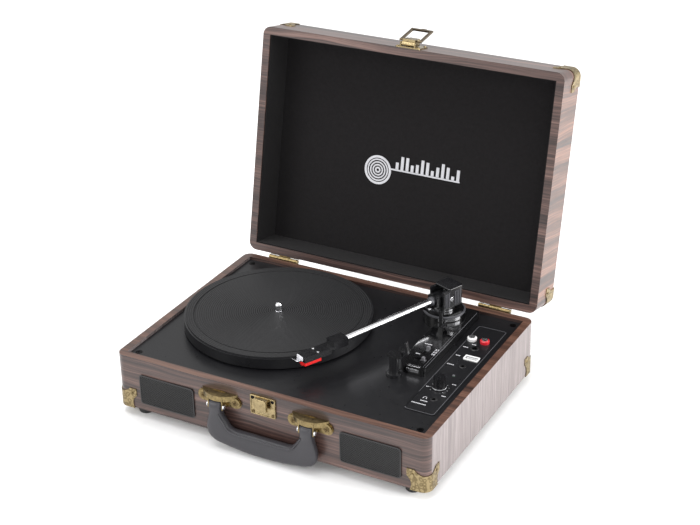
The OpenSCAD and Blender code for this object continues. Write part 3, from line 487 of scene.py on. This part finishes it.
def flat(a, b, h):
    """Puts an outline level, with its height along z."""
    return (a, b, h)


def piece(name, parts, matrix, body, slot, look=None, bevel=0.0, angle=35):
    """One object made of several closed meshes, riding on a body."""
    points, faces = [], []
    for part_points, part_faces in parts:
        start = len(points)
        points += [matrix @ Vector(p) for p in part_points]
        faces += [tuple(start + i for i in face) for face in part_faces]
    mesh = bpy.data.meshes.new(name)
    mesh.from_pydata(points, [], faces)
    made = bmesh.new()
    made.from_mesh(mesh)
    bmesh.ops.remove_doubles(made, verts=made.verts, dist=1e-8)
    bmesh.ops.dissolve_degenerate(made, edges=made.edges, dist=1e-8)
    bmesh.ops.recalc_face_normals(made, faces=made.faces)
    made.to_mesh(mesh)
    made.free()
    obj = bpy.data.objects.new(name, mesh)
    bpy.context.collection.objects.link(obj)
    mesh.materials.append(materials[look or slot])
    smooth(obj, bevel, 2, angle)
    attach(obj, body)
    return obj


# ---------------------------------------------------------------- speaker grilles
GRILLE_W, GRILLE_H = 64, 33
GRILLE_X, GRILLE_Z = 113, -33.3
GRILLE_RIM = 1.1
MESH_INSET = 0.9
WIRE_PITCH, WIRE_WIDE, WIRE_THICK = 1.7, 0.62, 0.3
SHORTEST_WIRE = 2.5
# how far each layer stands out from the case: the sheet behind, then the two layers of wire
SHEET_OUT, UNDER_OUT, OVER_OUT = 0.35, 0.85, 1.05


def grille(name, side):
    """Fine diagonal mesh in a thin rim over a black sheet."""
    def put(a, b, h):
        return (side * GRILLE_X + a, -HALF_D - h, GRILLE_Z + b)

    w, h = GRILLE_W / 2 - MESH_INSET, GRILLE_H / 2 - MESH_INSET
    hole = rounded(GRILLE_W - 2 * GRILLE_RIM, GRILLE_H - 2 * GRILLE_RIM, 2.6)
    parts = [ring_slab(rounded(GRILLE_W, GRILLE_H, 3.5), hole, 0.05, 1.4, put)]
    count = int((w + h) / math.sqrt(2) / WIRE_PITCH)
    for lean, out in ((1, UNDER_OUT), (-1, OVER_OUT)):
        for i in range(-count, count + 1):
            # the wire follows b = lean * a + c, kept inside the rectangle
            c = i * WIRE_PITCH * math.sqrt(2)
            crossings = sorted(((-h - c) * lean, (h - c) * lean))
            ends = (max(-w, crossings[0]), min(w, crossings[1]))
            if ends[1] - ends[0] < SHORTEST_WIRE:
                continue
            a, b = [put(x, lean * x + c, out) for x in ends]
            parts.append(bar(a, b, WIRE_WIDE, WIRE_THICK, (0, 1, 0)))
    mesh = piece("mesh_" + name, parts, CASE, "base", "grille_metal", "mesh_black")
    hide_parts(name)
    piece("sheet_" + name, [slab(rounded(GRILLE_W - 1, GRILLE_H - 1, 3), 0.04, SHEET_OUT, put)],
          CASE, "base", "grille_metal", "back_black")


grille("grille_left", -1)
grille("grille_right", 1)


# ---------------------------------------------------------------- handle
HANDLE_PIN = (50.2, -HALF_D - 8, -21.5)
CORNER_POWER = 0.62
BEAD_TOP, BEAD_INSET, BEAD_R = -6.5, 1.8, 0.85


def spline(rows, steps):
    """Catmull-Rom points through rows of numbers."""
    out = []
    for i in range(len(rows) - 1):
        a, b, c, d = (rows[max(0, min(len(rows) - 1, i + k))] for k in (-1, 0, 1, 2))
        for j in range(steps):
            t = j / steps
            out.append([0.5 * (2 * q + (r - p) * t + (2 * p - 5 * q + 4 * r - u) * t * t
                               + (3 * q - p - 3 * r + u) * t ** 3) for p, q, r, u in zip(a, b, c, d)])
    out.append(list(rows[-1]))
    return out


def handle_rows():
    """Sections from one strap's top down to the grip and up to the other strap's top."""
    # inner x and z, outer x and z, and half the depth, from the strap's top to the middle
    half = [(44.2, 5.8, 56.2, 5.8, 1.2), (43.8, 4.6, 56.6, 4.6, 3.8), (43.5, 2.6, 56.9, 2.6, 5.3),
            (43.5, 0, 56.9, 0, 5.9), (43.5, -4, 56.9, -4.2, 5.4), (43.1, -8, 57.2, -8.8, 4.9),
            (41.3, -11.4, 58.7, -14, 4.8), (38.8, -14.6, 60.3, -20, 4.9), (36.9, -17.6, 60.9, -27, 5.0),
            (34.6, -20.2, 57.6, -35, 5.2), (31.2, -22.0, 49.5, -39.3, 5.3), (26.5, -22.5, 38, -41, 5.4),
            (20, -22.5, 27, -42.5, 5.5), (10, -22.5, 13, -43.6, 5.5), (0, -22.5, 0, -44, 5.5)]
    rows = half + [(-xi, zi, -xo, zo, deep) for xi, zi, xo, zo, deep in half[-2::-1]]
    return spline(rows, 4)


def squared(value):
    """A sine or cosine pushed outward, so that a section has fuller corners."""
    return math.copysign(abs(value) ** CORNER_POWER, value)


def handle_pieces():
    """Smooth moulded handle with a bead on its inner edge."""
    sections, bead_line = [], []
    for xi, zi, xo, zo, deep in handle_rows():
        inner, outer = Vector((xi, 0, zi)), Vector((xo, 0, zo))
        centre = (inner + outer) / 2 + Vector((0, HANDLE_PIN[1], HANDLE_PIN[2]))
        reach = (inner - outer) / 2
        sections.append([tuple(centre + reach * squared(math.cos(turn))
                               + Vector((0, -deep * squared(math.sin(turn)), 0))) for turn in turns(28)])
        if zi < BEAD_TOP:
            bead_line.append(centre + reach - reach.normalized() * BEAD_INSET
                             + Vector((0, -deep * 0.9, 0)))
    grip = piece("handle_grip", [skin(sections)], CASE, "handle", "handle_plastic", angle=50)
    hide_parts("handle")

    rings = []
    for i, at in enumerate(bead_line):
        before, after = bead_line[max(0, i - 1)], bead_line[min(len(bead_line) - 1, i + 1)]
        side = (after - before).normalized().cross(Vector((0, 1, 0))).normalized()
        rings.append([tuple(at + side * BEAD_R * math.cos(turn)
                            + Vector((0, 1, 0)) * BEAD_R * math.sin(turn)) for turn in turns(8)])
    piece("handle_bead", [skin(rings)], CASE, "handle", "handle_plastic", angle=60)


handle_pieces()


# ---------------------------------------------------------------- print on the panel and platform, with painted highlights and reflections
PANEL_Z, PLATFORM_Z = -2.4, 5.0
PANEL_X0, PANEL_X1, PANEL_Y0, PANEL_Y1 = 126.4, 156.4, -81.9, 90.9
PLATFORM_Y0 = -25
KNOB_AT = (141, -36)
PHONES_MARK_AT = (136.4, -57.6)
PRINT_T = 0.08
LINE_LIFT, MARK_LIFT = 0.03, 0.04
# strokes of each numeral on a grid one wide and 1.7 tall
STROKES = {
    "3": [(0, 1.7), (1, 1.7), (0.45, 1.02), (0.85, 0.9), (1, 0.6), (1, 0.35), (0.7, 0), (0.25, 0),
          (0, 0.3)],
    "4": [(0.75, 0), (0.75, 1.7), (0, 0.5), (1.05, 0.5)],
    "5": [(1, 1.7), (0.1, 1.7), (0.05, 1), (0.6, 1.08), (1, 0.75), (1, 0.35), (0.7, 0), (0.2, 0),
          (0, 0.25)],
    "7": [(0, 1.7), (1, 1.7), (0.4, 0)],
    "8": [(0.5, 0.92), (0.12, 1.15), (0.1, 1.5), (0.5, 1.7), (0.9, 1.5), (0.88, 1.15), (0.5, 0.92),
          (0.97, 0.7), (1, 0.3), (0.5, 0), (0, 0.3), (0.03, 0.7), (0.5, 0.92)],
}
NUMERAL_SIZE, NUMERAL_X = 2.5, 112.0
SPEEDS = (("33", 14.2), ("45", 9.6), ("78", 5.0))
# x, y and the widths of the plain blocks that stand for a label
PLATFORM_LABELS = ((97.6, 22.6, (1.2, 1.2, 1.2, 1.2, 1.2)), (97.8, 1.6, (1.5, 1.2, 0.9)))
PANEL_LABELS = ((134.2, -63.6, (1.1, 1.1, 0.9, 1.1, 1.1)), (149.0, -48, (1.1, 1.1, 0.9)),
                (128.4, -38.5, (1.1, 1.1)), (149.2, -24.6, (1.1, 0.9, 1.1)),
                (128.4, 8.8, (1.1, 1.1, 0.7, 1.1, 1.1)), (129.2, 27.6, (1.2, 1.1, 1.2)),
                (128.8, 45.8, (1.1, 1.1, 0.7, 1.1)), (135.0, 53.6, (1.1, 1.1, 1.1)),
                (131.0, 69.6, (0.7,)), (145.0, 69.6, (0.7,)),
                (127.9, -69.6, (1.1, 1.1, 1.1, 0.9, 1.1, 1.1, 0.9, 1.1, 1.1, 1.1)))


def numeral(text, x, y, z, size):
    """Digits drawn with thin strips."""
    parts = []
    for place_in_row, digit in enumerate(text):
        shift = x + place_in_row * size * 0.95
        path = [(shift + a * size * 0.62, y + b * size * 0.6, z) for a, b in STROKES[digit]]
        parts += path_bars(path, size * 0.16, PRINT_T)
    return parts


def dashes(x, y, z, widths, tall=1.15, gap=0.45):
    """A row of plain blocks standing for a label."""
    parts = []
    for w in widths:
        parts.append(box(x, x + w, y - tall / 2, y + tall / 2, z - PRINT_T / 2, z + PRINT_T / 2))
        x += w + gap
    return parts


def knob_scale():
    """An arc of dots round the knob, like a dial's scale."""
    dots = []
    for i in range(9):
        turn = math.radians(-225 + i * 33.75)
        cx, cy = KNOB_AT[0] + 9.2 * math.cos(turn), KNOB_AT[1] - 9.2 * math.sin(turn)
        dots.append(box(cx - 0.3, cx + 0.3, cy - 0.3, cy + 0.3, PANEL_Z, PANEL_Z + PRINT_T))
    return dots


def lines():
    """The outline round the panel, and two grey lines along the platform's right side, a painted highlight
    on its ridge.
    """
    z = PANEL_Z + LINE_LIFT
    middle = ((PANEL_X0 + PANEL_X1) / 2, (PANEL_Y0 + PANEL_Y1) / 2)
    loop = [(a, b, z) for a, b in rounded(PANEL_X1 - PANEL_X0, PANEL_Y1 - PANEL_Y0, 2.6, middle, 4)]
    doubled = bar((PANEL_X0, -50, z), (PANEL_X0, -81, z), 0.4, PRINT_T)
    piece("panel_line", path_bars(loop + loop[:1], 0.4, PRINT_T) + [doubled],
          CASE, "base", "deck_plastic", "line_grey")
    # grey strips along the platform's right ridge: painted highlight
    z = PLATFORM_Z + LINE_LIFT
    parts = []
    for x, far_end, wide in ((118.3, 103, 0.4), (115.9, 66, 0.25)):
        parts += path_bars([(x, -20, z), (x, far_end, z)], wide, PRINT_T)
    piece("painted_highlight_platform_lines", parts, CASE, "base", "gloss_black", "line_grey")


def painted_reflection_trim():
    """Painted reflections: two bright plates at the platform's front end, and a bright band on the arm's
    boss, where lamps reflect.
    """
    y, z = PLATFORM_Y0, PLATFORM_Z
    # bright plates painted where reflections show on the platform's front steps
    piece("painted_reflection_plates", [box(100.5, 113.5, y + 2.2, y + 5.4, z - 0.1, z + 0.3),
                           box(100.5, 113.5, y - 0.3, y + 0.1, z - 5.0, z - 1.4)],
          CASE, "base", "gloss_black", "bright_steel", bevel=0.0001)
    # bright band painted where a reflection shows on the boss's side
    arc = [math.radians(-82 + 8 * i) for i in range(9)]
    path = [(PIVOT[0] + 21.6 * math.cos(a), PIVOT[1] + 21.6 * math.sin(a), 7.6) for a in arc]
    piece("painted_reflection_band", path_bars(path, 0.3, 3.4), CASE, "base", "gloss_black", "bright_steel", angle=30)


def printed_marks():
    """The numerals of the three speeds, plain blocks for the labels, and the phones mark."""
    marks = []
    for text, y in SPEEDS:
        marks += numeral(text, NUMERAL_X, y, PLATFORM_Z + MARK_LIFT, NUMERAL_SIZE)
    for x, y, widths in PLATFORM_LABELS:
        marks += dashes(x, y, PLATFORM_Z + MARK_LIFT, widths, 1.2)
    for x, y, widths in PANEL_LABELS:
        marks += dashes(x, y, PANEL_Z + MARK_LIFT, widths)
    marks += knob_scale()
    piece("panel_marks", marks, CASE, "base", "deck_plastic", "print_white")
    cx, cy = PHONES_MARK_AT
    band = [(cx + 1.6 * math.cos(a), cy + 1.6 * math.sin(a), PANEL_Z + MARK_LIFT)
            for a in [math.radians(-10 + 20 * i) for i in range(11)]]
    pads = [box(x, x + 0.7, cy - 1.6, cy - 0.1, PANEL_Z, PANEL_Z + PRINT_T) for x in (cx - 2.0, cx + 1.3)]
    piece("phones_mark", path_bars(band, 0.35, PRINT_T) + pads,
          CASE, "base", "deck_plastic", "print_white")


lines()
painted_reflection_trim()
printed_marks()


# ---------------------------------------------------------------- sockets, light and knob
PHONO_Y, PHONO_X = 61.6, (("white", 131.4), ("red", 145.2))
USB_AT = (146.3, 27)
LIGHT_AT = (143.9, -10)
# name, place and bore of each collar
COLLARS = (("line_in_collar", (144.6, 9.6), 1.9), ("phones_collar", (145.2, -57.5), 1.9),
           ("power_collar", (140.9, 46.5), 2.9))
PHONO_LOW = -3.4


def sockets():
    """Rings, shells and collars of the sockets, the light's dome and the knob's ring."""
    for colour, x in PHONO_X:
        at = (x, PHONO_Y, 0)
        piece("phono_ring_" + colour, [lathe(turned(PHONO_LOW, 4.8, 0.5, 0.9, 4.3, 3.3), at)],
              CASE, "base", "white_socket", colour + "_socket", angle=30)
        piece("phono_shell_" + colour, [lathe(sleeve(2.5, 3.2, PHONO_LOW, 1.9), at)],
              CASE, "base", "usb_shell", angle=30)
        piece("phono_core_" + colour, [lathe(sleeve(1.75, 2.45, PHONO_LOW, 0.2), at)],
              CASE, "base", "socket_black", angle=30)
    piece("usb_frame", [ring_slab(rounded(15.4, 8.6, 1.2, USB_AT), rounded(12.7, 5.4, 0.5, USB_AT),
                                  PANEL_Z - 0.5, PANEL_Z + 1.0, flat)],
          CASE, "base", "white_socket", angle=30)
    piece("usb_tongue", [box(140.4, 152.2, 27.9, 29.4, PANEL_Z - 6, PANEL_Z + 0.3)],
          CASE, "base", "white_socket", bevel=0.0001)
    for name, at, bore in COLLARS:
        profile = turned(PANEL_Z - 1, bore + 1.5, PANEL_Z + 0.45, PANEL_Z + 0.75, bore + 1.1, bore)
        piece(name, [lathe(profile, (*at, 0))], CASE, "base", "socket_black", angle=30)
    dome = [(0.01, -0.5), (1.5, -0.5), (1.5, 0.5), (1.2, 1.0), (0.6, 1.3), (0.01, 1.4)]
    piece("power_light", [lathe([(r, PANEL_Z + h) for r, h in dome], (*LIGHT_AT, 0), count=20)],
          CASE, "base", "switch_plastic", "cheek_grey", angle=60)
    skirt = [(6.95, 0.9), (7.25, 0.9), (7.25, 1.6), (6.95, 1.9)]
    piece("knob_skirt_ring", [lathe([(r, PANEL_Z + h) for r, h in skirt], (*KNOB_AT, 0))],
          CASE, "volume_knob", "bright_steel", angle=30)


sockets()


# ---------------------------------------------------------------- tonearm
CHEEK_X = 10.4
RIB_WIDE, RIB_Y = 1.3, (-8.6, -6.2, -3.8, 4.2, 6.6, 9.0, 11.4)
CAP_LOW, CAP_HIGH, CAP_Y = 35.5, 37.1, 6.4
REST_RING_LOW = -8.0
# the lift blade's bend, as y and z from the headshell's pivot end
BLADE = [(-51.8, 20.75), (-54.5, 20.75), (-57.0, 20.95), (-58.8, 21.7), (-60.0, 23.0)]


def yoke_pieces():
    """Cap, ribbed right cheek and pivot screws of the yoke, with the rings at its foot."""
    cap = slab(rounded(22.6, 19.5, 2.6), CAP_LOW, CAP_HIGH, lambda a, b, h: (a, b + CAP_Y, h))
    piece("yoke_cap", [cap], ARM, "yoke", "arm_plastic", bevel=0.0005)
    piece("cheek_ribs", [box(CHEEK_X, CHEEK_X + 0.7, y, y + RIB_WIDE, 17.5, 33.2) for y in RIB_Y],
          ARM, "yoke", "arm_plastic", "cheek_grey", bevel=0.0002)
    screws_at_pivot = [lathe(turned(s * CHEEK_X, 2.5, s * 11.1, s * 11.5, 2.0, 0.3), (0, 0, ARM_Z), "X", 24)
                       for s in (-1, 1)]
    piece("pivot_screws", screws_at_pivot, ARM, "yoke", "bright_steel", angle=30)
    piece("foot_collar", [lathe([(9.6, 11.4), (10.6, 11.4), (10.6, 13.2), (9.6, 13.8)])],
          ARM, "yoke", "bright_steel", angle=30)
    lipped = [(20.2, 10.95), (21.55, 10.95), (21.7, 10.7), (21.7, 9.6), (21.9, 9.4), (21.9, 10.9),
              (21.6, 11.25), (20.2, 11.25)]
    piece("boss_ring", [lathe(lipped, (*PIVOT, 0), count=64)],
          CASE, "base", "gloss_black", "cheek_grey", angle=30)


def arm_pieces():
    """Collar, screws, nose and lift blade of the arm, and the ring at the rest's foot."""
    collar = [(3.3, -20.6), (4.1, -20.6), (4.6, -20.1), (4.6, -17.2), (4.3, -16.6), (3.3, -16.6)]
    piece("tube_collar", [lathe(collar, (0, 0, ARM_Z), "Y", 32)],
          ARM, "tonearm", "arm_plastic", "cheek_grey", angle=30)
    piece("block_screws", [lathe(turned(29.75, 1.5, 30.2, 30.45, 1.1), (x, 4.5, 0), count=18)
                           for x in (-4.4, 4.4)], ARM, "tonearm", "bright_steel", angle=30)
    nose = slab(rounded(9.6, 4.6, 1.2), -52.9, -51.9, lambda a, b, h: (a, h, b + 22.0))
    piece("shell_nose", [nose], HEAD, "tonearm", "switch_plastic", "print_white", bevel=0.0003)
    blade = [bar((0, y0, z0), (0, y1, z1), 6.4, 0.3, (0, z0 - z1, y1 - y0))
             for (y0, z0), (y1, z1) in zip(BLADE, BLADE[1:])]
    piece("lift_blade", blade, HEAD, "tonearm", "polished_chrome", bevel=0.00008)
    piece("shell_screws", [lathe(turned(23.8, 1.4, 24.2, 24.5, 1.0), (x, -34, 0), count=18)
                           for x in (-4.2, 4.2)], HEAD, "tonearm", "bright_steel", angle=30)
    piece("rest_ring", [lathe(turned(5.0, 6.2, 5.9, 6.5, 5.6, 4.6), (*REST_AT, REST_RING_LOW), count=36)],
          CASE, "base", "bright_steel", angle=30)


yoke_pieces()
arm_pieces()


# ---------------------------------------------------------------- fittings on the front
PIN_LOW = 8.5
KEEPER_X, KEEPER_Z, KEEPER_BOSS_Z = -1.5, -13.2, -10.2
RIVET_X, RIVET_Z = 11, (-5.5, -21)


def front(a, b, h):
    """Puts an outline on the front wall about the keeper's middle, with its height outward."""
    return (a + KEEPER_X, -HALF_D - h, b)


def front_fittings():
    """Heads of the handle's pins, and the keeper's boss, rivets and rim."""
    x, y, z = HANDLE_PIN
    piece("pin_heads", [lathe(turned(s * PIN_LOW, 2.7, s * (PIN_LOW + 0.9), s * (PIN_LOW + 1.3), 2.1, 0.3),
                              (side * x, y, z), "X", 24) for side in (-1, 1) for s in (-1, 1)],
          CASE, "base", "bright_steel", angle=30)
    boss = slab(rounded(12.6, 13.6, 2.4, (0, KEEPER_BOSS_Z)), 5.7, 6.4, front)
    piece("keeper_boss", [boss], CASE, "base", "pale_brass", bevel=0.0003)
    rivet = [(0.2, -1.2), (1.7, -1.2), (1.7, -1.7), (1.1, -2.2), (0.2, -2.3)]
    piece("keeper_rivets", [lathe(rivet, (KEEPER_X + x, -HALF_D, z), "Y", 20)
                            for x in (-RIVET_X, RIVET_X) for z in RIVET_Z],
          CASE, "base", "pale_brass", "case_screws", angle=40)
    middle = (0, KEEPER_Z)
    rim = ring_slab(rounded(27.6, 21, 1.5, middle), rounded(25.4, 18.8, 0.9, middle), 1.15, 1.7, front)
    piece("keeper_rim", [rim], CASE, "base", "pale_brass", bevel=0.0002)


front_fittings()


# ---------------------------------------------------------------- ornament inside the lid
ORNAMENT_LOW, ORNAMENT_HIGH = 38.25, 38.75
DISC_AT = (-40, 17)
# outer radius and width of each ring
DISC_RINGS = ((16, 2.6), (12.4, 1.6), (9.4, 1.6), (6.4, 1.6), (3.4, 1.8))
BAR_COUNT, BAR_X, BAR_STEP, BAR_WIDE = 13, -19, 6, 3.4


def circle(radius):
    """Points round the disc's middle."""
    return [(DISC_AT[0] + radius * math.cos(a), DISC_AT[1] + radius * math.sin(a)) for a in turns(56)]


def ornament():
    """A disc with rings beside a row of level bars, a generic mark."""
    low, high = ORNAMENT_LOW, ORNAMENT_HIGH
    parts = [ring_slab(circle(r), circle(r - w), low, high, flat) for r, w in DISC_RINGS]
    parts.append(box(-25, 57, 12.6, 14.2, low, high))
    for i in range(BAR_COUNT):
        x = BAR_X + i * BAR_STEP
        tall = 5 + 12 * abs(math.sin(math.radians(i * 47 + 20)))
        parts.append(box(x, x + BAR_WIDE, 14 - tall, 13, low, high))
    piece("lid_ornament", parts, LID, "lid", "bright_steel", "emblem_metal")


ornament()


# ---------------------------------------------------------------- floor, light, camera
CAMERA_AT = place(665.54, -1171.39, 769.76)
CAMERA_AZIMUTH, CAMERA_ELEVATION, CAMERA_ROLL = (math.radians(a) for a in (28.61, 27.02, -0.96))
CAMERA_LENS, CAMERA_SENSOR = 78.91, 36
WORLD_STRENGTH = 0.85
# name, place and aim in metres, size and power of each softbox
SOFTBOXES = (("softbox_top", (-0.3, 0.1, 1.9), (0, 0, 0), (1.6, 1.6), 28),
             ("softbox_front", (-1.3, -1.6, 1.1), (0, 0, 0.1), (1.2, 1.2), 18),
             ("softbox_right", (1.7, 0.5, 0.5), (0.1, 0, 0.1), (1.4, 0.9), 44),
             ("softbox_near", (0.9, -1.5, 0.7), (0.1, 0, 0.08), (0.5, 0.5), 7))


def floor():
    """White paper under the case."""
    bpy.ops.mesh.primitive_plane_add(size=12, location=(0, 0, 0))
    sheet = bpy.context.object
    sheet.name = "floor"
    t = Tree("floor_paper")
    where = t.add("TexCoord").outputs["Object"]
    paper = t.ramp(t.noise(where, 60, 3), [(0.3, (0.86, 0.86, 0.86)), (0.7, (0.9, 0.9, 0.9))])
    t.set(Base_Color=paper, Roughness=0.75)
    sheet.data.materials.append(t.material)


def softbox(name, where, aim, size, power):
    """A rectangular lamp that the camera doesn't see."""
    data = bpy.data.lights.new(name, "AREA")
    data.shape = "RECTANGLE"
    data.size, data.size_y = size
    data.energy = power
    lamp = bpy.data.objects.new(name, data)
    bpy.context.collection.objects.link(lamp)
    lamp.location = where
    lamp.rotation_euler = (Vector(aim) - Vector(where)).to_track_quat("-Z", "Y").to_euler()
    lamp.visible_camera = False


def white_world():
    """Even white light from all round."""
    world = bpy.data.worlds.new("studio")
    world.use_nodes = True
    background = world.node_tree.nodes["Background"].inputs
    background["Color"].default_value = (1, 1, 1, 1)
    background["Strength"].default_value = WORLD_STRENGTH
    bpy.context.scene.world = world


def camera():
    """A camera turned by azimuth and elevation, then rolled."""
    back = Vector((math.sin(CAMERA_AZIMUTH) * math.cos(CAMERA_ELEVATION),
                   -math.cos(CAMERA_AZIMUTH) * math.cos(CAMERA_ELEVATION),
                   math.sin(CAMERA_ELEVATION)))
    right = Vector((math.cos(CAMERA_AZIMUTH), math.sin(CAMERA_AZIMUTH), 0))
    up = back.cross(right)
    turned_right = math.cos(CAMERA_ROLL) * right + math.sin(CAMERA_ROLL) * up
    turned_up = -math.sin(CAMERA_ROLL) * right + math.cos(CAMERA_ROLL) * up
    axes = Matrix((turned_right, turned_up, back)).transposed().to_4x4()
    data = bpy.data.cameras.new("camera")
    data.sensor_width, data.lens = CAMERA_SENSOR, CAMERA_LENS
    eye = bpy.data.objects.new("camera", data)
    eye.matrix_world = Matrix.Translation(CAMERA_AT) @ axes
    bpy.context.collection.objects.link(eye)
    bpy.context.scene.camera = eye


floor()
for softbox_row in SOFTBOXES:
    softbox(*softbox_row)
white_world()
camera()
bpy.context.scene.view_settings.view_transform = "Standard"
